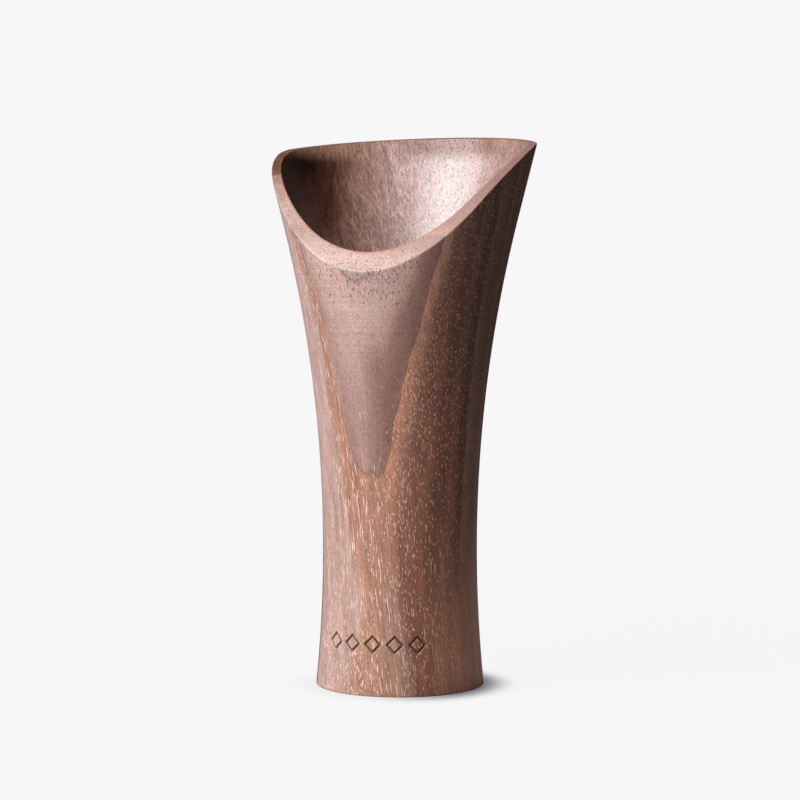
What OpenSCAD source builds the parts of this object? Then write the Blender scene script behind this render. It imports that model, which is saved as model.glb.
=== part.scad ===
// Turned wooden cup: flat foot, slim waist, flared bowl and a rim that is scooped low at the front.
// The centre of the foot is the origin, +Z is up, and the low side of the rim faces -Y.

/* [Turned outside] */
// Height of the highest point of the rim
height = 140; // [130:1:150]
// Radius of the waist, the slimmest place
waist_r = 19.5; // [18:0.1:21]
// Height of the waist above the foot
waist_z = 35; // [30:1:40]
// Radius of the long hollow curve that joins foot, waist and flare
side_curve_r = 340; // [320:5:380]
// Height where the curve ends and the straight flare begins
flare_z = 118; // [105:1:122]
// Chamfer around the bottom edge of the foot
foot_chamfer = 0.5; // [0.2:0.1:1]

/* [Bowl] */
// Thickness of the wall at the full height
rim_wall = 2.4; // [2:0.1:3.5]
// Lean of the inner wall at the full height, in degrees from upright
mouth_lean = 14; // [13:0.5:15]
// Radius of the long curve of the inner wall
bowl_curve_r = 279; // [270:1:300]
// Radius of the round bottom of the bowl
bowl_bottom_r = 9; // [7:0.5:11]

/* [Rim] */
// Fall of the back part of the rim towards the front, in degrees
back_fall = 8; // [4:0.5:12]
// Fall of the front scoop, in degrees
scoop_fall = 56.5; // [50:0.5:59]
// Distance in front of the axis where the two slopes would meet
scoop_start = 7; // [4:0.5:10]
// Radius of the round between the two slopes
scoop_blend_r = 35; // [25:1:45]

/* [Engraved row] */
// Number of lozenges in the row
lozenge_count = 5; // [3:1:7]
// Side of the square that makes each lozenge
lozenge_side = 3.3; // [2.2:0.1:3.5]
// Width of the engraved line
line_w = 0.55; // [0.4:0.05:0.8]
// Angle from one lozenge to the next, in degrees
lozenge_step = 16; // [14:0.5:20]
// Height of the middle of the row
row_z = 12.8; // [9:0.1:16]
// Depth of the engraving at the middle of the row
engrave_depth = 0.4; // [0.2:0.05:0.6]

/* [Hidden] */
// Facets in a full circle of the turned shapes
curve_fn = 360;
// Steps along the inner wall's long curve
wall_steps = 12;
// Steps along the bowl's round bottom
ball_steps = 8;
// Reach of the helper shapes past the wood
past = 20;

// Outside radius of the turned blank at height z
function curve_r(z) = waist_r + side_curve_r - sqrt(pow(side_curve_r, 2) - pow(z - waist_z, 2));
flare_slope = (flare_z - waist_z) / sqrt(pow(side_curve_r, 2) - pow(flare_z - waist_z, 2));
function outside_r(z) = z < flare_z ? curve_r(z) : curve_r(flare_z) + flare_slope * (z - flare_z);

// Centre of the inner wall's curve, and height of the centre of the bowl's round bottom
wall_x = outside_r(height) - rim_wall - bowl_curve_r * cos(mouth_lean);
wall_z = height + bowl_curve_r * sin(mouth_lean);
ball_z = wall_z - sqrt(pow(bowl_curve_r - bowl_bottom_r, 2) - pow(wall_x, 2));

// Points along an arc about c, from angle a to angle b
function arc_points(c, r, a, b, steps) =
    [for (i = [0 : steps]) c + r * [cos(a + (b - a) * i / steps), sin(a + (b - a) * i / steps)]];

// The two slopes of the rim meet at this height
meet_z = height - tan(back_fall) * (outside_r(height) + scoop_start);
// Centre of the round between them, below both slopes
blend_y = -scoop_start + scoop_blend_r * (1 / cos(back_fall) - 1 / cos(scoop_fall))
    / (tan(back_fall) - tan(scoop_fall));
blend_z = meet_z + tan(back_fall) * (blend_y + scoop_start) - scoop_blend_r / cos(back_fall);

// Half outline of the solid turned blank
module blank_outline() {
    foot_r = curve_r(0);
    flare_r = outside_r(flare_z);
    top_z = height + past;
    difference() {
        square([flare_r + past, top_z]);
        translate([waist_r + side_curve_r, waist_z]) circle(r = side_curve_r, $fn = curve_fn);
        polygon([
            [flare_r, flare_z],
            [flare_r + 2 * past, flare_z],
            [flare_r + 2 * past, top_z + 1],
            [outside_r(top_z + 1), top_z + 1]
        ]);
        translate([foot_r - foot_chamfer, 0]) rotate(-45) square(past);
    }
}

// Half outline of the bowl: a round bottom that runs into the long inner wall
module bowl_outline() {
    top_lean = asin((wall_z - height - past) / bowl_curve_r);
    join_lean = asin((wall_z - ball_z) / (bowl_curve_r - bowl_bottom_r));
    polygon(concat(
        [[0, height + past]],
        arc_points([wall_x, wall_z], bowl_curve_r, -top_lean, -join_lean, wall_steps),
        arc_points([0, ball_z], bowl_bottom_r, -join_lean, -90, ball_steps)
    ));
}

// Side view of all that is cut away above the rim: two slopes with a round between them
module above_rim_outline() {
    back = [blend_y - scoop_blend_r * sin(back_fall), blend_z + scoop_blend_r * cos(back_fall)];
    front = [blend_y - scoop_blend_r * sin(scoop_fall), blend_z + scoop_blend_r * cos(scoop_fall)];
    far = height / 2;
    top_z = height + 2 * past;
    difference() {
        polygon([
            [far, back[1] + tan(back_fall) * (far - back[0])],
            [far, top_z],
            [-far, top_z],
            [-far, front[1] - tan(scoop_fall) * (far + front[0])],
            front,
            back
        ]);
        translate([blend_y, blend_z]) circle(r = scoop_blend_r, $fn = curve_fn);
    }
}

// Lines of a row of lozenges across the front, sunk to an even depth
module engraving() {
    row_r = outside_r(row_z);
    difference() {
        for (i = [0 : lozenge_count - 1])
            rotate([0, 0, (i - (lozenge_count - 1) / 2) * lozenge_step])
                translate([0, 0, row_z])
                    rotate([90, 0, 0])
                        linear_extrude(height = row_r + past)
                            rotate(45) difference() {
                                square(lozenge_side, center = true);
                                square(lozenge_side - 2 * line_w, center = true);
                            }
        cylinder(r = row_r - engrave_depth, h = 2 * row_z, $fn = curve_fn);
    }
}

// The whole cup, one piece of walnut
module cup_body() {
    color([0.50, 0.34, 0.27])
        difference() {
            rotate_extrude($fn = curve_fn) blank_outline();
            rotate_extrude($fn = curve_fn) bowl_outline();
            rotate([90, 0, 90]) linear_extrude(height = height, center = true) above_rim_outline();
            engraving();
        }
}

cup_body();
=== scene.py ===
import math

import bmesh
import bpy
import numpy as np
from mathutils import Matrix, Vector


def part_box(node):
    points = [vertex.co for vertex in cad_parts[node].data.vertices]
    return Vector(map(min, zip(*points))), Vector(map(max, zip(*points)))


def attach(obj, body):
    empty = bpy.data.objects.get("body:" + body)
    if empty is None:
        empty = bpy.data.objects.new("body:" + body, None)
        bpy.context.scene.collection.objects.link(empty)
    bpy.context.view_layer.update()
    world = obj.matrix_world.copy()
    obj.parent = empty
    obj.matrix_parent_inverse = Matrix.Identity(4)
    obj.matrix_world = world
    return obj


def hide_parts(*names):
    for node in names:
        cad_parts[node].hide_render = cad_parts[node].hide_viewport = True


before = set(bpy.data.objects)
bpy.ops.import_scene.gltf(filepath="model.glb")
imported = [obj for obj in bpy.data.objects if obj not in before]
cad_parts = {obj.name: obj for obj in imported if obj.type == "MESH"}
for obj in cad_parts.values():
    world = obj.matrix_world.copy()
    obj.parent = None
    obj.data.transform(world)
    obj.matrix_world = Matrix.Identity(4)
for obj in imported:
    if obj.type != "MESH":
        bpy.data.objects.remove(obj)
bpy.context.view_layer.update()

# A turned walnut cup with a slim waist, a flared mouth and one scooped side.
# Shapes are worked out in millimetres, as in the part's own source, and become metres at the end.
MM = 0.001
NODE = "cup_body"
low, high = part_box(NODE)
HEIGHT = (high.z - low.z) / MM

# Turned outside
WAIST_R, WAIST_Z = 19.5, 35.0
SIDE_CURVE_R, FLARE_Z = 340.0, 118.0
FOOT_ROUND = 0.5

# Bowl
RIM_WALL, MOUTH_LEAN = 2.4, math.radians(14)
BOWL_CURVE_R, BOWL_BOTTOM_R = 279.0, 9.0

# Rim
BACK_FALL, SCOOP_FALL = math.radians(8), math.radians(56.5)
SCOOP_START, SCOOP_BLEND_R = 7.0, 35.0
RIM_ROUND = 0.35

# Engraved row
LOZENGE_COUNT, LOZENGE_STEP = 5, math.radians(16)
LOZENGE_SIDE, LINE_W, ENGRAVE_DEPTH, ROW_Z = 3.3, 0.55, 0.4, 12.8
LINE_EASE, LINE_SPREAD = 0.16, 0.06  # how softly a line's sides fall, and how far past its width

# Mesh density: columns round the cup, rows up it, and a finer patch for the engraved row
COLUMNS = 240
UNDERSIDE_RADII = (0.6, 2.0, 4.0, 6.5, 9.0, 11.5, 14.0, 16.5, 18.5, 19.8)
FOOT_GAP, FINE_GAP, FINE_TO_WAIST, WAIST_GAP, LEVEL_TOP = 0.75, 0.5, 1.3, 1.2, 30.0
WALL_ROWS, EDGE_STEPS, FACE_STEPS, BOWL_ROWS, BALL_ROWS = 68, 5, 7, 52, 12
FINE_LOW, FINE_HIGH, FINE_ANGLE, FINE_CUTS = 9.5, 16.5, math.radians(42), 5
NEAR, NEAR_TURN = 0.01, 0.001  # lengths, or angles, closer than this count as the same

# The search for where a wall meets the rim: its lowest height, how far past the top it goes, its steps
SEARCH_FROM, SEARCH_PAST, SEARCH_HALVINGS = 80.0, 5.0, 50

# The mark of the rim's cut face fades over this many steps of its rounded edges, and the mark of its
# inner edge fades by this much at each step
FACE_FADE_IN, FACE_FADE_OUT, LIP_FADE = 2, 3, 0.2

FRONT = -math.pi / 2  # the scoop's low side, and the middle of the engraved row


# ---------------------------------------------------------------- shape
flare_slope = (FLARE_Z - WAIST_Z) / math.sqrt(SIDE_CURVE_R**2 - (FLARE_Z - WAIST_Z) ** 2)


def outside_r(z):
    """Outside radius of the turned blank at height z."""
    z = np.asarray(z, float)
    below = np.minimum(z, FLARE_Z) - WAIST_Z
    curve = WAIST_R + SIDE_CURVE_R - np.sqrt(SIDE_CURVE_R**2 - below**2)
    return curve + flare_slope * np.maximum(z - FLARE_Z, 0)


mouth_r = float(outside_r(HEIGHT))
wall_x = mouth_r - RIM_WALL - BOWL_CURVE_R * math.cos(MOUTH_LEAN)
wall_z = HEIGHT + BOWL_CURVE_R * math.sin(MOUTH_LEAN)
ball_z = wall_z - math.sqrt((BOWL_CURVE_R - BOWL_BOTTOM_R) ** 2 - wall_x**2)
join_lean = math.asin((wall_z - ball_z) / (BOWL_CURVE_R - BOWL_BOTTOM_R))
join_z = ball_z - BOWL_BOTTOM_R * math.sin(join_lean)


def inside_r(z):
    """Radius of the bowl's long wall at height z, above its round bottom."""
    return wall_x + np.sqrt(BOWL_CURVE_R**2 - (wall_z - np.asarray(z, float)) ** 2)


meet_z = HEIGHT - math.tan(BACK_FALL) * (mouth_r + SCOOP_START)
blend_y = -SCOOP_START + SCOOP_BLEND_R * (1 / math.cos(BACK_FALL) - 1 / math.cos(SCOOP_FALL)) / (
    math.tan(BACK_FALL) - math.tan(SCOOP_FALL)
)
blend_z = meet_z + math.tan(BACK_FALL) * (blend_y + SCOOP_START) - SCOOP_BLEND_R / math.cos(BACK_FALL)


def rim_z(y):
    """Height of the rim at y: gentle at the back, steep in front, and a round between them."""
    y = np.asarray(y, float)
    back = meet_z + math.tan(BACK_FALL) * (y + SCOOP_START)
    scoop = meet_z + math.tan(SCOOP_FALL) * (y + SCOOP_START)
    round_z = blend_z + np.sqrt(np.maximum(SCOOP_BLEND_R**2 - (y - blend_y) ** 2, 0))
    z = np.where(y > blend_y - SCOOP_BLEND_R * math.sin(BACK_FALL), back, round_z)
    return np.where(y < blend_y - SCOOP_BLEND_R * math.sin(SCOOP_FALL), scoop, z)


angles = FRONT + np.arange(COLUMNS) * 2 * math.pi / COLUMNS
lean = np.sin(angles)
ones = np.ones(COLUMNS)


def meets_rim(radius):
    """Height at which a turned wall meets the rim, at each column."""
    below, above = np.full(COLUMNS, SEARCH_FROM), np.full(COLUMNS, HEIGHT + SEARCH_PAST)
    for _ in range(SEARCH_HALVINGS):
        middle = (below + above) / 2
        under = middle < rim_z(radius(middle) * lean)
        below, above = np.where(under, middle, below), np.where(under, above, middle)
    return (below + above) / 2


def eased(start, control, end, steps):
    """Rows along a small round from start to end, each an (r, z) pair, without its first row."""
    rounded = []
    for i in range(1, steps + 1):
        t = i / steps
        rounded.append(tuple((1 - t) ** 2 * s + 2 * t * (1 - t) * c + t * t * e
                             for s, c, e in zip(start, control, end)))
    return rounded


def cup_rows():
    """Rows of points all round the cup, from the middle of the underside to the middle of the bowl.

    A row is (r, z, how much on the rim's cut face, how near its inner edge, 1 inside the bowl), with one
    value of each at every column.
    """
    rows = []

    def add(r, z, face=0, inner=0, inside=0):
        rows.append((r * ones, z * ones, face * ones, inner * ones, inside * ones))

    # Underside, from near the middle out to the foot's rounded edge
    foot_r = float(outside_r(0))
    for r in (*UNDERSIDE_RADII, foot_r - FOOT_ROUND):
        add(r, 0.0)
    foot_end = (float(outside_r(FOOT_ROUND)), FOOT_ROUND)
    for r, z in eased((foot_r - FOOT_ROUND, 0.0), (foot_r, 0.0), foot_end, EDGE_STEPS):
        add(r, z)

    # Outer wall: level rows at the foot and the engraved row, then rows that turn into the rim's curve
    level = list(np.arange(2 * FOOT_ROUND, FINE_LOW, FOOT_GAP))
    level += list(np.arange(FINE_LOW, FINE_HIGH + NEAR, FINE_GAP))
    level += list(np.arange(FINE_HIGH + FINE_TO_WAIST, LEVEL_TOP + NEAR, WAIST_GAP))
    for z in level:
        add(outside_r(z), z)
    outer_z = meets_rim(outside_r)
    for i in range(1, WALL_ROWS + 1):
        z = level[-1] + (outer_z - RIM_ROUND - level[-1]) * i / WALL_ROWS
        add(outside_r(z), z)

    # Rim: a rounded outer edge, the cut face, and a rounded inner edge
    inner_z = meets_rim(inside_r)
    outer_r, inner_r = outside_r(outer_z), inside_r(inner_z)
    edge_r, lip_r = outer_r - RIM_ROUND, inner_r + RIM_ROUND
    start = (outside_r(outer_z - RIM_ROUND), outer_z - RIM_ROUND)
    outer_edge = eased(start, (outer_r, outer_z), (edge_r, rim_z(edge_r * lean)), EDGE_STEPS)
    for i, (r, z) in enumerate(outer_edge):
        add(r, z, face=min(1, i / FACE_FADE_IN))
    for i in range(1, FACE_STEPS + 1):
        r = edge_r + (lip_r - edge_r) * i / FACE_STEPS
        add(r, rim_z(r * lean), face=1, inner=max(0, i - FACE_STEPS + 1))
    end = (inside_r(inner_z - RIM_ROUND), inner_z - RIM_ROUND)
    inner_edge = eased((lip_r, rim_z(lip_r * lean)), (inner_r, inner_z), end, EDGE_STEPS)
    for i, (r, z) in enumerate(inner_edge):
        add(r, z, face=max(0, 1 - i / FACE_FADE_OUT), inner=1 - LIP_FADE * i, inside=i / (EDGE_STEPS - 1))

    # Inner wall and the bowl's round bottom
    for i in range(1, BOWL_ROWS + 1):
        z = inner_z - RIM_ROUND + (join_z - inner_z + RIM_ROUND) * i / BOWL_ROWS
        add(inside_r(z), z, inside=1)
    for i in range(1, BALL_ROWS):
        turn = join_lean + (math.pi / 2 - join_lean) * i / BALL_ROWS
        add(BOWL_BOTTOM_R * math.cos(turn), ball_z - BOWL_BOTTOM_R * math.sin(turn), inside=1)
    return rows


def cup_mesh(rows):
    """The closed mesh through the rows, with a point at the middle of the underside and of the bowl."""
    points = [(0.0, 0.0, 0.0)]
    marks = {"rim_face": [0.0], "rim_inner": [0.0], "bowl": [0.0]}
    for r, z, *shares in rows:
        points += list(zip(r * np.cos(angles), r * np.sin(angles), z))
        for mark, share in zip(marks.values(), shares):
            mark.extend(share)
    points.append((0.0, 0.0, ball_z - BOWL_BOTTOM_R))
    for mark, share in zip(marks.values(), (0.0, 0.0, 1.0)):
        mark.append(share)

    def at(row, column):
        """Number of the point at this row and column."""
        return 1 + row * COLUMNS + column % COLUMNS

    last = len(rows) - 1
    faces = [(0, at(0, j + 1), at(0, j)) for j in range(COLUMNS)]
    for i in range(last):
        faces += [(at(i, j), at(i, j + 1), at(i + 1, j + 1), at(i + 1, j)) for j in range(COLUMNS)]
    faces += [(at(last, j), at(last, j + 1), len(points) - 1) for j in range(COLUMNS)]

    mesh = bpy.data.meshes.new("cup")
    mesh.from_pydata(points, [], faces)
    for name, values in marks.items():
        mesh.attributes.new(name, "FLOAT", "POINT").data.foreach_set("value", values)
    return mesh


def from_front(x, y):
    """Angle round the cup from the middle of the engraved row."""
    return (math.atan2(y, x) - FRONT + math.pi) % (2 * math.pi) - math.pi


def groove(x, y, z):
    """How deep in the engraved lines a point on the outer wall is, from 0 to 1."""
    turn = from_front(x, y)
    half = (LOZENGE_COUNT - 1) / 2
    nearest = max(-half, min(half, round(turn / LOZENGE_STEP)))
    across = math.hypot(x, y) * math.sin(turn - nearest * LOZENGE_STEP)
    up = z - ROW_Z
    from_middle = (abs(across) + abs(up)) / math.sqrt(2)
    off_line = abs(from_middle - (LOZENGE_SIDE - LINE_W) / 2)
    edge = min(1.0, max(0.0, (LINE_W / 2 + LINE_SPREAD - off_line) / LINE_EASE))
    return edge * edge * (3 - 2 * edge)


def near_row(v):
    """Whether a point is on the outer wall and near the engraved row."""
    x, y, z = v.co
    in_rows = FINE_LOW - NEAR < z < FINE_HIGH + NEAR
    in_columns = abs(from_front(x, y)) < FINE_ANGLE + NEAR_TURN
    return in_rows and in_columns and math.hypot(x, y) > WAIST_R - NEAR


def engrave(mesh):
    """Gives the engraved row finer faces, sinks its lines into them and turns the mesh into metres."""
    bm = bmesh.new()
    bm.from_mesh(mesh)
    fine = {v for v in bm.verts if near_row(v)}
    edges = [e for e in bm.edges if e.verts[0] in fine and e.verts[1] in fine]
    bmesh.ops.subdivide_edges(bm, edges=edges, cuts=FINE_CUTS, use_grid_fill=True)
    sunk = bm.verts.layers.float.new("groove")
    for v in bm.verts:
        if near_row(v):
            x, y, z = v.co
            v[sunk] = groove(x, y, z)
            scale = (float(outside_r(z)) - ENGRAVE_DEPTH * v[sunk]) / math.hypot(x, y)
            v.co = Vector((x * scale, y * scale, z))
        v.co = v.co * MM + Vector((0, 0, low.z))
    for f in bm.faces:
        f.smooth = True
    bm.to_mesh(mesh)
    bm.free()


mesh = cup_mesh(cup_rows())
engrave(mesh)
cup = bpy.data.objects.new("walnut_cup", mesh)
bpy.context.scene.collection.objects.link(cup)


# ---------------------------------------------------------------- material
MIX_SHARE, MIX_A, MIX_B, MIX_RESULT = 0, 6, 7, 2  # sockets of the mix node's colour form


def linear(*shown):
    """A colour given as display values from 0 to 255, as the shader takes it."""
    parts = [c / 255 for c in shown]
    return tuple(c / 12.92 if c <= 0.04045 else ((c + 0.055) / 1.055) ** 2.4 for c in parts) + (1.0,)


class Tree:
    """Builds a material's nodes. Each call takes sockets or plain numbers and gives back a socket."""

    def __init__(self, material):
        material.use_nodes = True
        self.tree = material.node_tree
        self.tree.nodes.clear()

    def fill(self, node, inputs):
        for key, value in inputs.items():
            if isinstance(value, bpy.types.NodeSocket):
                self.tree.links.new(value, node.inputs[key])
            else:
                node.inputs[key].default_value = value

    def add(self, kind, inputs, output=0, **settings):
        node = self.tree.nodes.new(kind)
        for key, value in settings.items():
            setattr(node, key, value)
        self.fill(node, inputs)
        return node.outputs[output] if node.outputs else None

    def math(self, operation, *values, clamp=False):
        return self.add("ShaderNodeMath", dict(enumerate(values)), operation=operation, use_clamp=clamp)

    def times(self, value, *others):
        """The product of all the values."""
        for other in others:
            value = self.math("MULTIPLY", value, other)
        return value

    def plus(self, value, change, share=1.0):
        """value with a share of change added."""
        return self.math("MULTIPLY_ADD", change, share, value)

    def sway(self, value, noise, reach):
        """value moved up or down by noise, by up to half of reach."""
        return self.plus(value, self.math("SUBTRACT", noise, 0.5), reach)

    def soften(self, shade, share):
        """A shade brought nearer to 1. share is how much of its difference from 1 stays."""
        return self.plus(1.0, self.math("SUBTRACT", shade, 1.0), share)

    def step(self, value, start, end, low=0.0, high=1.0):
        """Goes smoothly from low to high as value goes from start to end."""
        ends = {"Value": value, "From Min": start, "From Max": end, "To Min": low, "To Max": high}
        return self.add("ShaderNodeMapRange", ends, interpolation_type="SMOOTHSTEP")

    def spread(self, noise, width, low, high):
        """Goes from low to high over the middle part, width wide, of a noise's values."""
        return self.step(noise, 0.5 - width / 2, 0.5 + width / 2, low, high)

    def mix(self, share, a, b, blend="MIX"):
        node = self.tree.nodes.new("ShaderNodeMix")
        node.data_type, node.blend_type = "RGBA", blend
        self.fill(node, {MIX_SHARE: share, MIX_A: a, MIX_B: b})
        return node.outputs[MIX_RESULT]

    def tint(self, colour, factor):
        return self.mix(1.0, colour, factor, "MULTIPLY")

    def shade(self, colour, amount):
        """The colour made lighter or darker, amount times as bright."""
        return self.tint(colour, self.point(amount, amount, amount))

    def point(self, x, y, z):
        return self.add("ShaderNodeCombineXYZ", {"X": x, "Y": y, "Z": z})

    def scale(self, place, size):
        return self.add("ShaderNodeVectorMath", {0: place, "Scale": size}, operation="SCALE")

    def dot(self, place, direction):
        inputs = {0: place, 1: direction}
        return self.add("ShaderNodeVectorMath", inputs, output="Value", operation="DOT_PRODUCT")

    def noise(self, place, detail=2.0, roughness=0.5):
        """Noise from 0 to 1 with features about one unit across."""
        inputs = {"Vector": place, "Scale": 1.0, "Detail": detail, "Roughness": roughness}
        return self.add("ShaderNodeTexNoise", inputs)

    def bands(self, value, stops):
        """Colours along value. Each stop is (value, colour)."""
        stops = sorted(stops, key=lambda stop: stop[0])
        start, span = stops[0][0], stops[-1][0] - stops[0][0]
        node = self.tree.nodes.new("ShaderNodeValToRGB")
        share = self.math("MULTIPLY_ADD", value, 1 / span, -start / span, clamp=True)
        self.tree.links.new(share, node.inputs[0])
        elements = node.color_ramp.elements
        while len(elements) < len(stops):
            elements.new(0.5)
        for element, (place, colour) in zip(elements, stops):
            element.position, element.color = (place - start) / span, colour
        return node.outputs[0]


# How the cup lies in the tree: the fibres lean a little to the left of the front, and the heart of the
# tree is well in front of the cup. Lengths are in millimetres. Here "east" is the distance to the right
# of the cup's middle as seen from the front, and "ring" is the depth in the growth rings.
FIBRE_LEAN, HEART_TURN, HEART_AWAY = math.radians(7), math.radians(-86), 180.0
FIBRE = Vector((-math.sin(FIBRE_LEAN), 0, math.cos(FIBRE_LEAN)))
HEART = Vector((math.cos(HEART_TURN), math.sin(HEART_TURN), 0))
HEART = (HEART - HEART.dot(FIBRE) * FIBRE).normalized()
ACROSS = FIBRE.cross(HEART)

# The main ring edge, where one year's wood ends, draws the V on the front
RING_EDGE, RING_EDGE_LOW = 20.3, 21.9  # how far from the middle it lies, higher up and near the foot
YEAR_END, YEAR_LINE, YEAR_LINE_SIDE, YEAR_LINE_SHARE = (0.05, 0.2), 0.11, (0.02, 0.09), 0.45
SIDE_ACROSS = (4.0, 11.0)  # where the left side's grain gives way to the right side's
SIDE_SHIFT, SIDE_SHIFT_Z = -0.3, (60.0, 76.0)

# Noises in the grain: features per mm across the fibres and along them, then detail and roughness. The
# first three also have a reach in millimetres.
WANDER, WANDER_REACH, WANDER_APART = dict(cut=0.05, run=0.02), 3.0, (7.3, 2.1, 4.4)
WAVES, WAVE_REACH = dict(cut=0.16, run=0.035, detail=2.0), 1.6
CELLS, CELL_REACH = dict(cut=1.6, run=0.5, detail=1.0), 0.16
STREAKS = dict(cut=0.5, run=0.02, detail=4.0, roughness=0.6)
STROKES = dict(cut=1.7, run=0.3, detail=3.0, roughness=0.65)
FINE_FIBRES = dict(cut=2.6, run=0.12, detail=3.0, roughness=0.6)
GRIT = dict(cut=3.3, run=1.5, detail=2.0, roughness=0.7)
LATHE_CUT, LATHE_LINES = 0.02, 2.2

# How strongly those noises shade the wood: width of the noise's middle part, darkest and lightest
# shade. The lathe's lines have changes of shade instead.
STREAK_SHADES, STROKE_SHADES = (0.36, 0.84, 1.13), (0.4, 0.7, 1.3)
FINE_SHADES, GRIT_SHADES, LATHE_SHADES = (0.44, 0.78, 1.18), (0.4, 0.76, 1.24), (0.3, -0.07, 0.07)
CALM_RING, CALM_SHARE = (0.3, 1.0), 0.35

# Pores: the space that each has, its length and its half width as a share of the space. The offset
# keeps one kind from lying on top of another.
LONG_PORES = dict(spacing=0.44, length=32.0, size=0.19, offset=0.0)
SHORT_PORES = dict(spacing=0.42, length=5.0, size=0.22, offset=31.7)
FLECKS = dict(spacing=0.4, length=1.6, size=0.26, offset=53.1)
DARK_PORES = dict(spacing=0.52, length=2.2, size=0.27, offset=11.3)
BOWL_PORES = dict(spacing=0.6, length=4.5, size=0.25, offset=5.5)
RIM_DOTS = dict(spacing=0.45, length=0.9, size=0.25, offset=77.7)
PORE_SOFTNESS = 0.25

# Share of the spaces that hold a pore: by ring depth, past the year's end, and from left to right. The
# dark pores below the rim, those in the bowl and the dots on the rim have shares of their own.
PORES_BY_RING, PORES_PAST_END, SHORT_PAST_END = (-4.5, -0.6, 0.45, 0.95), (1.0, 0.03), (1.0, 0.2)
SHORT_LEAST, SHORT_BY_RING = 0.12, 0.6
LONG_BY_SIDE, FLECKS_BY_SIDE = (1.0, 0.2), (0.2, 1.6)
DARK_RING, DARK_MOST, DARK_Z = (2.0, 3.6), 0.75, (94.5, 99.0)
BOWL_PORES_EAST, BOWL_PORES_SHARE, RIM_DOTS_SHARE = (12.0, -4.0), (0.15, 0.6), 0.5
# How plainly each kind shows
PORES_SHOW, SHORT_SHOW, DARK_SHOW, BOWL_PORES_SHOW, RIM_DOTS_SHOW = 0.76, 0.85, 0.7, 0.5, 0.3
FAINT_IN_BOWL, FAINT_RING, FAINT_AT_BACK = 0.35, (-11.0, -16.0), 0.6
WARM_RING, PALE_RING, PALE_Z, PALE_LEAST = (-15.0, -11.0), (-12.0, -3.5), (98.0, 66.0), 0.25

# Where the colours change, and by how much
LOW_EDGE_Z, LEFT_TINT_EAST = (48.0, 16.0), (-11.0, -19.0)
# Painted bounce light on the shaded right side: lighter and browner at the foot, darker from the waist up
BOUNCE_LIGHT_Z, BOUNCE_LIGHT_RING, BOUNCE_LIGHT_SHARE = (48.0, 4.0), (-4.0, -9.0), 0.85
BOUNCE_FALLOFF_Z, BOUNCE_FALLOFF_SHADES, BOUNCE_FALLOFF_RING = (45.0, 105.0), (1.14, 0.77), (-1.0, -3.2)
LATHE_RING, LATHE_Z, LATHE_EAST = (0.3, 1.5), (74.0, 88.0), (12.0, -6.0)
BOWL_SHARE, BOWL_SWAY, BOWL_TOP_Z, OPEN_BOWL_EAST = 0.9, 5.0, (132.5, 137.0), (-23.0, -10.0)
# The last places a painted highlight near the top of the bowl's left wall
RED_EAST_START, RED_EAST_END, PAINTED_HIGHLIGHT_EAST = (-14.0, -1.0), (20.0, 13.0), (-17.0, -24.0)
RIM_PALE_EAST, RIM_PALE_SHARE, RIM_DARK_EAST = (-29.0, -8.0), 0.45, (-14.0, -24.0)
LIP_UNEVEN, GROOVE_DARK_SHARE = (0.3, 0.15, 0.6), 0.92

# Finish and relief
ROUGH, ROUGH_CLOUDS, CLOUD_FINENESS = 0.36, 0.12, 0.12
ROUGH_IN_BOWL, ROUGH_FIBRES, ROUGH_DRY = -0.12, 0.1, 0.3
WOOD_IOR, COAT_SHARE, COAT_ROUGHNESS, COAT_Z = 1.5, 0.65, 0.42, (137.0, 132.0)
PORE_DEPTH, FIBRE_RISE = 0.05 * MM, 0.03 * MM
LATHE_RISE, LATHE_RISE_Z = (0.01 * MM, 0.022 * MM), (70.0, 100.0)

# Colours of the rings on the front
MAUVE, MAUVE_MID, MAUVE_LOW = linear(168, 138, 130), linear(155, 124, 115), linear(140, 109, 100)
LILAC, MAUVE_GREY, BLUSH = linear(146, 126, 122), linear(132, 105, 97), linear(158, 122, 112)
GOLD, SALMON, SALMON_DEEP = linear(144, 103, 84), linear(154, 123, 113), linear(140, 111, 101)
PURPLE_PALE, PURPLE, AMBER = linear(132, 97, 88), linear(120, 86, 76), linear(158, 110, 88)
COCOA, RUSSET, UMBER = linear(118, 78, 64), linear(116, 71, 55), linear(96, 56, 42)
# The last is a painted colour: bounce light at the foot of the shaded right side
SIENNA, SEPIA, BOUNCE_LIGHT_BROWN = linear(106, 64, 44), linear(80, 44, 28), linear(142, 95, 74)
LEFT_TINT = (1.02, 1.08, 1.15, 1)

# Rings at the back: the colours of each year's early, middle and late wood, and where each year starts
# and how wide it is
BACK_EARLY, BACK_MIDDLE, BACK_LATE = linear(106, 69, 51), linear(96, 58, 40), linear(82, 50, 36)
BACK_RINGS = ((-13.5, 6.5), (-20.0, 5.5), (-25.5, 6.5), (-32.0, 6.0), (-38.0, 7.0), (-45.0, 6.8))
BACK_FROM = (-13.6, -13.4)

# Colours inside the bowl, of the rim and of the darkened engraved lines
BOWL_DARK, BOWL_BROWN, BOWL_LINE = linear(34, 12, 5), linear(100, 66, 52), linear(70, 44, 34)
BOWL_TAN, BOWL_BLUSH, BOWL_MID = linear(162, 127, 114), linear(180, 150, 145), linear(152, 122, 116)
# The last is a painted highlight, where the top of the bowl's left wall catches light
BOWL_SIDE, BOWL_RED, BOWL_PAINTED_HIGHLIGHT = linear(128, 94, 80), linear(110, 64, 50), linear(190, 150, 128)
RIM_PALE, RIM_DARK_TINT, ORANGE = linear(160, 130, 122), (0.8, 0.72, 0.68, 1), linear(150, 96, 66)
GROOVE_DARK = linear(78, 50, 35)

# Colours of the pores
PORE_PALE, PORE_LIGHT, PORE_GOLD = linear(208, 163, 139), linear(230, 196, 184), linear(176, 128, 98)
PORE_DARK, BOWL_PORE = linear(58, 38, 32), linear(92, 62, 58)


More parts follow.
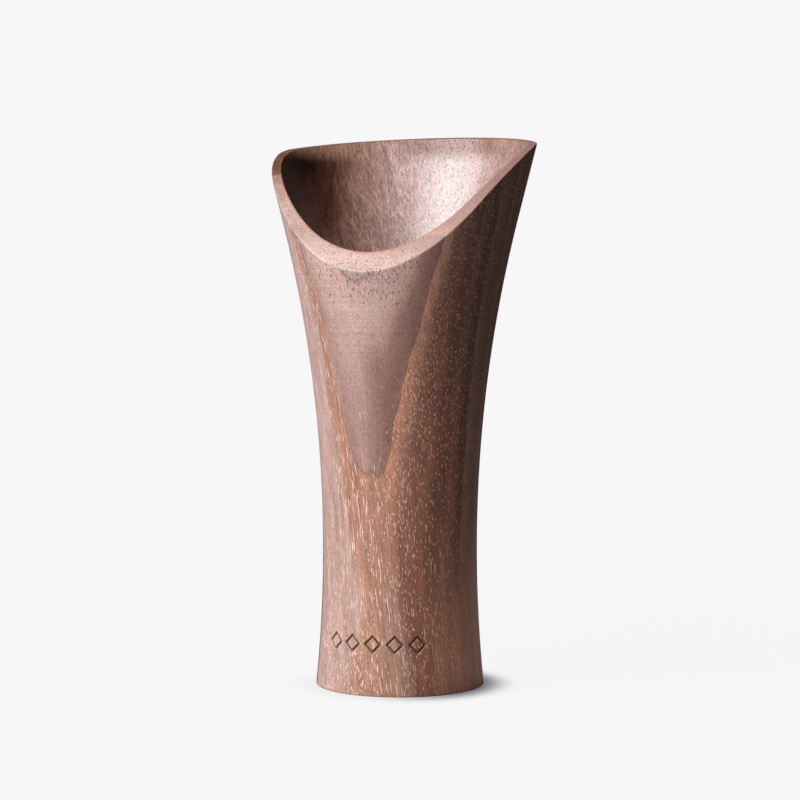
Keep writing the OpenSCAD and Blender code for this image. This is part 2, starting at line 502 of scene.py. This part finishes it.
class Walnut(Tree):
    """The cup's wood, one solid pattern. Its methods each make one layer of it."""

    def __init__(self, material):
        super().__init__(material)
        place = self.add("ShaderNodeTexCoord", {}, output="Object")
        self.mm = self.scale(place, 1 / MM)
        self.height, self.east = self.dot(self.mm, (0, 0, 1)), self.dot(self.mm, (1, 0, 0))
        across, heart, along = (self.dot(self.mm, tuple(d)) for d in (ACROSS, HEART, FIBRE))
        self.sunk, self.rim_face, self.rim_inner, self.bowl = (
            self.add("ShaderNodeAttribute", {}, output="Fac", attribute_name=name)
            for name in ("groove", "rim_face", "rim_inner", "bowl")
        )

        # The fibres wander slowly
        self.across, self.heart, self.along = across, heart, along
        slow = self.grain_place(heart, **WANDER)
        apart = self.add("ShaderNodeVectorMath", {0: slow, 1: WANDER_APART}, operation="ADD")
        self.across = self.sway(across, self.noise(slow, 1.0), WANDER_REACH)
        self.heart_wavy = self.sway(heart, self.noise(apart, 1.0), WANDER_REACH)

        self.side = self.step(self.across, *SIDE_ACROSS)
        self.ring = self.ring_depth()
        self.calm = self.step(self.ring, *CALM_RING)  # 1 in the smooth V on the front
        self.open_bowl = self.times(self.bowl, self.step(self.east, *OPEN_BOWL_EAST))
        self.streaks = self.fibres(**STREAKS)
        self.fine = self.fibres(**FINE_FIBRES)
        self.lathe = self.noise(self.point(self.times(self.across, LATHE_CUT), self.times(heart, LATHE_CUT),
                                           self.times(self.height, LATHE_LINES)), 1.0)

    def grain_place(self, heart, cut, run):
        """A place in the wood, drawn out along the fibres."""
        return self.point(self.times(self.across, cut), self.times(heart, cut), self.times(self.along, run))

    def fibres(self, cut, run, detail, roughness=0.5, heart=None):
        """Noise drawn out along the fibres."""
        heart = self.heart_wavy if heart is None else heart
        return self.noise(self.grain_place(heart, cut, run), detail, roughness)

    def ring_depth(self):
        """Depth in the growth rings, 0 at the main ring edge on the front and growing towards the heart."""
        bow = self.times(self.across, self.across, -1 / (2 * HEART_AWAY))
        edge = self.step(self.height, *LOW_EDGE_Z, -RING_EDGE, -RING_EDGE_LOW)
        ring = self.plus(self.plus(self.heart_wavy, bow), edge)
        ring = self.sway(ring, self.fibres(heart=self.heart, **WAVES), WAVE_REACH)
        ring = self.sway(ring, self.fibres(heart=self.heart, **CELLS), CELL_REACH)
        return self.plus(ring, self.times(self.side, self.step(self.height, *SIDE_SHIFT_Z)), SIDE_SHIFT)

    def ring_colour(self):
        """Colours of the growth rings. The right-hand side is darker, and the left stays warm."""
        heartwards = [(7.5, MAUVE), (6.5, LILAC), (6.42, MAUVE_GREY), (6.3, MAUVE), (4.6, MAUVE)]
        right = [(3.6, BLUSH), (2.6, PURPLE_PALE), (1.0, PURPLE), (0.16, PURPLE), (0.06, AMBER),
                 (-0.4, AMBER), (-2.0, COCOA), (-3.3, RUSSET), (-4.6, RUSSET), (-6.4, UMBER), (-7.9, UMBER),
                 (-9.0, SIENNA), (-10.4, UMBER), (-11.6, SEPIA), (-13.4, SEPIA)]
        left = [(2.2, MAUVE_MID), (1.0, MAUVE_LOW), (0.16, MAUVE_LOW), (0.06, GOLD), (-1.6, GOLD),
                (-2.6, SALMON), (-8.0, SALMON), (-13.4, SALMON_DEEP)]
        back = []
        for edge, width in BACK_RINGS:
            back += [(edge - 0.1, BACK_EARLY), (edge - 0.4 * width, BACK_MIDDLE)]
            back.append((edge - width + 0.2, BACK_LATE))
        colour = self.mix(self.side, self.bands(self.ring, heartwards + left),
                          self.bands(self.ring, heartwards + right))
        colour = self.mix(self.step(self.ring, *BACK_FROM, 1.0, 0.0), colour, self.bands(self.ring, back))
        colour = self.mix(self.step(self.east, *LEFT_TINT_EAST), colour, self.tint(colour, LEFT_TINT))

        # Painted light on the shaded right side: lighter and browner at the foot, where the floor's glow
        # would light it, and darker from the waist up, away from that glow
        painted_bounce = self.times(self.side, self.step(self.height, *BOUNCE_LIGHT_Z),
                             self.step(self.ring, *BOUNCE_LIGHT_RING))
        colour = self.mix(self.times(painted_bounce, BOUNCE_LIGHT_SHARE), colour, BOUNCE_LIGHT_BROWN)
        painted_falloff = self.step(self.height, *BOUNCE_FALLOFF_Z, *BOUNCE_FALLOFF_SHADES)
        painted_falloff = self.soften(painted_falloff, self.times(self.side, self.step(self.ring, *BOUNCE_FALLOFF_RING)))
        return self.shade(colour, painted_falloff)

    def bowl_colour(self):
        """Inside, the cut runs from dark wood at the left to pale wood at the middle, with a painted
        highlight near the top at the left.
        """
        place = self.sway(self.east, self.streaks, BOWL_SWAY)
        colour = self.bands(place, [(-29.0, BOWL_DARK), (-25.4, BOWL_BROWN), (-24.8, BOWL_LINE),
                                    (-24.2, BOWL_BROWN), (-19.5, BOWL_TAN), (-11.0, BOWL_BLUSH),
                                    (-2.0, BOWL_MID), (12.0, BOWL_MID), (30.0, BOWL_SIDE)])
        near_top = self.step(self.height, *BOWL_TOP_Z)
        red = self.times(near_top, self.step(self.east, *RED_EAST_START),
                         self.step(self.east, *RED_EAST_END))
        colour = self.mix(red, colour, BOWL_RED)
        # Painted highlight: a pale patch near the top of the bowl's left wall, where it catches light
        colour = self.mix(self.times(near_top, self.step(self.east, *PAINTED_HIGHLIGHT_EAST)), colour, BOWL_PAINTED_HIGHLIGHT)
        return self.shade(colour, self.spread(self.fibres(**STROKES), *STROKE_SHADES))

    def add_grain(self, colour):
        """Faint level lines left by the lathe, then long streaks, fine fibres and grit."""
        on_front = self.times(self.step(self.ring, *LATHE_RING), self.step(self.height, *LATHE_Z),
                              self.step(self.east, *LATHE_EAST))
        colour = self.shade(colour, self.plus(1.0, self.spread(self.lathe, *LATHE_SHADES), on_front))
        unrest = self.step(self.calm, 0.0, 1.0, 1.0, CALM_SHARE)
        colour = self.shade(colour, self.soften(self.spread(self.streaks, *STREAK_SHADES), unrest))
        fine = self.soften(self.spread(self.fine, *FINE_SHADES), unrest)
        grit = self.spread(self.fibres(**GRIT), *GRIT_SHADES)
        return self.shade(colour, self.times(fine, grit))

    def needles(self, share, spacing, length, size, offset):
        """Pores: needles along the fibres, which the turned surface cuts into streaks and flecks."""
        cell = self.point(self.plus(offset, self.across, 1 / spacing),
                          self.times(self.heart_wavy, 1 / spacing), self.times(self.along, 1 / length))
        node = self.tree.nodes.new("ShaderNodeTexVoronoi")
        self.fill(node, {"Scale": 1.0, "Vector": cell})
        drawn = self.add("ShaderNodeSeparateColor", {"Color": node.outputs["Color"]}, output="Red")
        distance = node.outputs["Distance"]
        body = self.step(distance, size * (1 + PORE_SOFTNESS), size * (1 - PORE_SOFTNESS))
        return self.times(body, self.math("LESS_THAN", drawn, share))

    def add_pores(self, colour):
        """Pores in the wood. Gives back the colour with them, and how much of a pore each spot is."""
        share = self.times(self.step(self.ring, *PORES_BY_RING),
                           self.step(self.ring, *YEAR_END, *PORES_PAST_END))
        long_share = self.times(share, self.step(self.side, 0.0, 1.0, *LONG_BY_SIDE))
        short_share = self.plus(SHORT_LEAST, share, SHORT_BY_RING)
        short_share = self.times(short_share, self.step(self.ring, *YEAR_END, *SHORT_PAST_END))
        fleck_share = self.times(short_share, self.step(self.side, 0.0, 1.0, *FLECKS_BY_SIDE))
        short, flecks = self.needles(short_share, **SHORT_PORES), self.needles(fleck_share, **FLECKS)
        short = self.times(self.math("MAXIMUM", short, flecks), SHORT_SHOW)
        pores = self.math("MAXIMUM", self.needles(long_share, **LONG_PORES), short)

        # Chalky pores outside. Where the bowl is open to the light the pores are painted dark: real pores,
        # with painted shade where they break the sheen
        warm = self.times(self.math("SUBTRACT", 1.0, self.side), self.step(self.ring, *WARM_RING))
        pale = self.times(self.step(self.ring, *PALE_RING),
                          self.step(self.height, *PALE_Z, PALE_LEAST, 1.0))
        chalk = self.mix(warm, self.mix(pale, PORE_GOLD, PORE_PALE), PORE_LIGHT)
        faint = self.times(self.step(self.bowl, 0.0, 1.0, 1.0, FAINT_IN_BOWL),
                           self.step(self.ring, *FAINT_RING, 1.0, FAINT_AT_BACK), PORES_SHOW)
        colour = self.mix(self.times(pores, faint), colour, self.mix(self.open_bowl, chalk, PORE_DARK))

        # Dark pores below the front of the rim, in the open part of the bowl, where their darkness is
        # partly painted shade against the sheen, and on the rim's cut face
        near_rim = self.times(self.step(self.ring, *DARK_RING, 0.0, DARK_MOST),
                              self.step(self.height, *DARK_Z))
        dark = self.needles(near_rim, **DARK_PORES)
        colour = self.mix(self.times(dark, DARK_SHOW), colour, PORE_DARK)
        bowl_share = self.times(self.open_bowl, self.step(self.east, *BOWL_PORES_EAST, *BOWL_PORES_SHARE))
        in_bowl = self.needles(bowl_share, **BOWL_PORES)
        colour = self.mix(self.times(in_bowl, BOWL_PORES_SHOW), colour, BOWL_PORE)
        dots = self.needles(self.times(self.rim_face, RIM_DOTS_SHARE), **RIM_DOTS)
        colour = self.mix(self.times(dots, RIM_DOTS_SHOW), colour, PORE_DARK)
        return colour, self.math("MAXIMUM", self.math("MAXIMUM", pores, dark), dots)

    def add_edges(self, colour):
        """The thin dark line where one ring ends, the rim's cut face and edges, and the darkened engraved
        lines.
        """
        from_line = self.math("ABSOLUTE", self.math("SUBTRACT", self.ring, YEAR_LINE))
        line = self.step(from_line, *YEAR_LINE_SIDE, 1.0, 0.0)
        colour = self.mix(self.times(line, YEAR_LINE_SHARE), colour, BACK_EARLY)
        pale = self.times(self.rim_face, self.step(self.east, *RIM_PALE_EAST, 0.0, RIM_PALE_SHARE))
        colour = self.mix(pale, colour, RIM_PALE)
        dark = self.times(self.rim_face, self.step(self.east, *RIM_DARK_EAST))
        colour = self.mix(dark, colour, self.tint(colour, RIM_DARK_TINT))
        uneven = self.spread(self.streaks, *LIP_UNEVEN)
        colour = self.mix(self.times(self.rim_inner, uneven), colour, ORANGE)
        return self.mix(self.times(self.sunk, GROOVE_DARK_SHARE), colour, GROOVE_DARK)

    def roughness(self, pores):
        """Satin oil: smoother in the bowl, dry inside the pores and in the engraved lines."""
        clouds = self.noise(self.scale(self.mm, CLOUD_FINENESS), 3.0)
        rough = self.plus(ROUGH, clouds, ROUGH_CLOUDS)
        rough = self.plus(rough, self.bowl, ROUGH_IN_BOWL)
        rough = self.plus(rough, self.fine, ROUGH_FIBRES)
        rough = self.plus(rough, pores, ROUGH_DRY)
        return self.math("MULTIPLY_ADD", self.sunk, ROUGH_DRY, rough, clamp=True)

    def relief(self, pores):
        """Sunken pores, raised fibres and the lathe's lines."""
        raised = self.plus(self.times(pores, -PORE_DEPTH), self.fine, FIBRE_RISE)
        raised = self.plus(raised, self.lathe, self.step(self.height, *LATHE_RISE_Z, *LATHE_RISE))
        return self.add("ShaderNodeBump", {"Height": raised, "Distance": 1.0, "Strength": 1.0})

    def build(self):
        colour = self.mix(self.times(self.bowl, BOWL_SHARE), self.ring_colour(), self.bowl_colour())
        colour, pores = self.add_pores(self.add_grain(colour))
        coat = self.times(self.open_bowl, self.step(self.height, *COAT_Z), COAT_SHARE)
        shader = self.add("ShaderNodeBsdfPrincipled", {
            "Base Color": self.add_edges(colour), "Roughness": self.roughness(pores),
            "Normal": self.relief(pores), "IOR": WOOD_IOR, "Coat Weight": coat,
            "Coat Roughness": COAT_ROUGHNESS,
        })
        self.add("ShaderNodeOutputMaterial", {"Surface": shader})


wood = bpy.data.materials.new("oiled_walnut")
Walnut(wood).build()
mesh.materials.append(wood)
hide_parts(NODE)
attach(cup, "root")


# ---------------------------------------------------------------- stage, light and camera
# The floor and the backdrop glow evenly, and one soft light stands at the front left. Lengths from here
# on are in metres, and a turn is a bearing, as an angle from +X towards +Y.
BACKDROP_PALE, AMBIENT = 0.93, 0.01
ROOM_GLOW, ROOM_TURN, ROOM_EDGE = 0.3, math.radians(155), (0.3, 0.8)
FLOOR_R, FLOOR_CORNERS, FLOOR_FADE = 1.0, 64, (0.15, 0.7)
FLOOR_GLOW, FLOOR_MIRRORED, FLOOR_WHITE = 0.9075, 0.3, 0.015
# A painted shadow in the floor's glow: darker close round the cup, on the side away from the key
PAINTED_SHADOW_REACH, PAINTED_SHADOW_OPEN, PAINTED_SHADOW_TINT = 0.012, (0.97, 0.6), (0.2, 0.2, 0.24, 1)
SHADE_TURN, SHADE_ACROSS, SHADE_LEAST = math.radians(20), (-0.012, 0.02), 0.1
KEY_TURN, KEY_RISE, KEY_AWAY = math.radians(-128), math.radians(38), 1.2
KEY_WIDTH, KEY_TALL, KEY_POWER = 1.2, 0.9, 37
LENS, SENSOR_WIDTH, CAMERA_AWAY, AIM_Z = 103.5, 36.0, 0.5812, 0.072
CAMERA_TURN, CAMERA_RISE = math.radians(19.7 - 90), math.radians(2.992)


def bearing(turn, rise=0.0):
    """The direction at this turn and this angle above the floor."""
    return Vector((math.cos(turn) * math.cos(rise), math.sin(turn) * math.cos(rise), math.sin(rise)))


def grey(value):
    return value, value, value, 1


def paper(material):
    """A floor that glows evenly, with a painted shadow in its glow where the cup stands, and fades out far
    away.
    """
    t = Tree(material)
    place = t.add("ShaderNodeTexCoord", {}, output="Object")
    matt = t.add("ShaderNodeBsdfDiffuse", {"Color": grey(FLOOR_WHITE)})
    open_sky = t.add("ShaderNodeAmbientOcclusion", {"Distance": PAINTED_SHADOW_REACH}, output="AO", samples=16)
    away_from_key = t.step(t.dot(place, tuple(bearing(SHADE_TURN))), *SHADE_ACROSS, SHADE_LEAST, 1.0)
    # Painted shadow: the glow is tinted darker near the cup, away from the key
    painted_shadow = t.times(t.step(open_sky, *PAINTED_SHADOW_OPEN), away_from_key)
    mirrored = t.add("ShaderNodeLightPath", {}, output="Is Glossy Ray")
    strength = t.step(mirrored, 0.0, 1.0, FLOOR_GLOW, FLOOR_MIRRORED)
    tint = t.mix(painted_shadow, grey(1), PAINTED_SHADOW_TINT)
    glow = t.add("ShaderNodeEmission", {"Color": tint, "Strength": strength})
    lit = t.add("ShaderNodeAddShader", {0: matt, 1: glow})
    clear = t.add("ShaderNodeBsdfTransparent", {})
    from_cup = t.add("ShaderNodeVectorMath", {0: place}, output="Value", operation="LENGTH")
    faded = t.add("ShaderNodeMixShader", {0: t.step(from_cup, *FLOOR_FADE), 1: lit, 2: clear})
    t.add("ShaderNodeOutputMaterial", {"Surface": faded})


def make_floor():
    corners = [bearing(2 * math.pi * i / FLOOR_CORNERS) * FLOOR_R for i in range(FLOOR_CORNERS)]
    floor_mesh = bpy.data.meshes.new("floor")
    floor_mesh.from_pydata([(x, y, low.z) for x, y, z in corners], [], [tuple(range(FLOOR_CORNERS))])
    material = bpy.data.materials.new("pale_paper")
    paper(material)
    floor_mesh.materials.append(material)
    floor = bpy.data.objects.new("floor", floor_mesh)
    bpy.context.scene.collection.objects.link(floor)


def make_world():
    """Seen as an even pale backdrop. As a light it is nearly dark, with a weak glow at the back left."""
    world = bpy.data.worlds.new("studio")
    bpy.context.scene.world = world
    t = Tree(world)
    seen = t.add("ShaderNodeBackground", {"Color": grey(BACKDROP_PALE), "Strength": 1.0})
    towards = t.dot(t.add("ShaderNodeTexCoord", {}, output="Generated"), tuple(bearing(ROOM_TURN)))
    strength = t.step(towards, *ROOM_EDGE, AMBIENT, ROOM_GLOW)
    room = t.add("ShaderNodeBackground", {"Color": grey(1), "Strength": strength})
    camera_ray = t.add("ShaderNodeLightPath", {}, output="Is Camera Ray")
    mixed = t.add("ShaderNodeMixShader", {0: camera_ray, 1: room, 2: seen})
    t.add("ShaderNodeOutputWorld", {"Surface": mixed})


def make_key():
    """A large soft light that faces the cup's middle."""
    lamp = bpy.data.lights.new("key", "AREA")
    lamp.shape, lamp.size, lamp.size_y, lamp.energy = "RECTANGLE", KEY_WIDTH, KEY_TALL, KEY_POWER
    key = bpy.data.objects.new("key", lamp)
    towards = bearing(KEY_TURN, KEY_RISE)
    key.location = Vector((0, 0, HEIGHT * MM / 2)) + towards * KEY_AWAY
    key.rotation_euler = towards.to_track_quat("Z", "Y").to_euler()
    bpy.context.scene.collection.objects.link(key)


def make_camera():
    data = bpy.data.cameras.new("camera")
    data.lens, data.sensor_width = LENS, SENSOR_WIDTH
    data.clip_start, data.clip_end = 0.01, 20.0
    camera = bpy.data.objects.new("camera", data)
    back = bearing(CAMERA_TURN, CAMERA_RISE)
    camera.location = Vector((0, 0, low.z + AIM_Z)) + back * CAMERA_AWAY
    camera.rotation_euler = (-back).to_track_quat("-Z", "Y").to_euler()
    bpy.context.scene.collection.objects.link(camera)
    bpy.context.scene.camera = camera


make_floor()
make_world()
make_key()
make_camera()
bpy.context.scene.view_settings.view_transform = "Standard"
